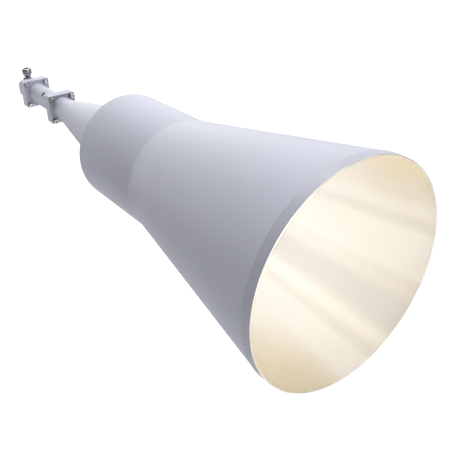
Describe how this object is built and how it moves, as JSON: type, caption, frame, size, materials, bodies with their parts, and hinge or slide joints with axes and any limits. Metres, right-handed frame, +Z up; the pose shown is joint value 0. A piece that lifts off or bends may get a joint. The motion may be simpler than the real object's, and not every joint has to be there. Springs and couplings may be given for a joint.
{
  "type": "conical horn antenna",
  "caption": "Long conical microwave horn with a support collar, a round-to-rectangular waveguide transition and a waveguide-to-coaxial adapter.",
  "frame": {"origin": "on the horn's axis, at the middle of the cylindrical support collar", "axes": "+Y along the horn's axis from the mouth towards the coaxial adapter, so the beam leaves along -Y; +Z up through the coaxial connector; +X to the right when looking into the beam's source along +Y"},
  "size_m": [0.216, 0.7155, 0.216],
  "materials": {
    "grey_paint": "satin light grey paint on aluminium",
    "bare_aluminium": "turned, bare",
    "stainless_steel": "bright stainless steel",
    "nickel_plate": "polished nickel plate on brass",
    "ptfe": "white PTFE",
    "gold_plated_brass": "gold plate on brass",
    "conductive_elastomer": "matte filled elastomer"
  },
  "bodies": {
    "root": {"mouth_ring": "bare_aluminium", "front_cone": "grey_paint", "collar_sleeve": "grey_paint", "collar_rear_plate": "grey_paint", "rear_cone": "grey_paint", "throat_flange": "grey_paint", "throat_gasket": "conductive_elastomer", "transition_front_flange": "grey_paint", "transition_tube": "grey_paint", "transition_rear_flange": "grey_paint", "port_plug": "grey_paint", "guide_gasket": "conductive_elastomer", "adapter_flange": "grey_paint", "adapter_body": "grey_paint", "backshort_plate": "grey_paint", "connector_gasket": "conductive_elastomer", "connector_shell": "nickel_plate", "dielectric": "ptfe", "centre_contact": "gold_plated_brass", "probe_tip": "gold_plated_brass", "connector_screw_1": "stainless_steel", "connector_screw_2": "stainless_steel", "connector_screw_3": "stainless_steel", "connector_screw_4": "stainless_steel", "throat_screw_1": "stainless_steel", "throat_screw_2": "stainless_steel", "throat_screw_3": "stainless_steel", "throat_screw_4": "stainless_steel", "throat_washer_1": "stainless_steel", "throat_washer_2": "stainless_steel", "throat_washer_3": "stainless_steel", "throat_washer_4": "stainless_steel", "throat_lock_washer_1": "stainless_steel", "throat_lock_washer_2": "stainless_steel", "throat_lock_washer_3": "stainless_steel", "throat_lock_washer_4": "stainless_steel", "throat_nut_1": "stainless_steel", "throat_nut_2": "stainless_steel", "throat_nut_3": "stainless_steel", "throat_nut_4": "stainless_steel", "guide_screw_1": "stainless_steel", "guide_screw_2": "stainless_steel", "guide_screw_3": "stainless_steel", "guide_screw_4": "stainless_steel", "guide_washer_1": "stainless_steel", "guide_washer_2": "stainless_steel", "guide_washer_3": "stainless_steel", "guide_washer_4": "stainless_steel", "guide_lock_washer_1": "stainless_steel", "guide_lock_washer_2": "stainless_steel", "guide_lock_washer_3": "stainless_steel", "guide_lock_washer_4": "stainless_steel", "guide_nut_1": "stainless_steel", "guide_nut_2": "stainless_steel", "guide_nut_3": "stainless_steel", "guide_nut_4": "stainless_steel"}
  },
  "joints": []
}
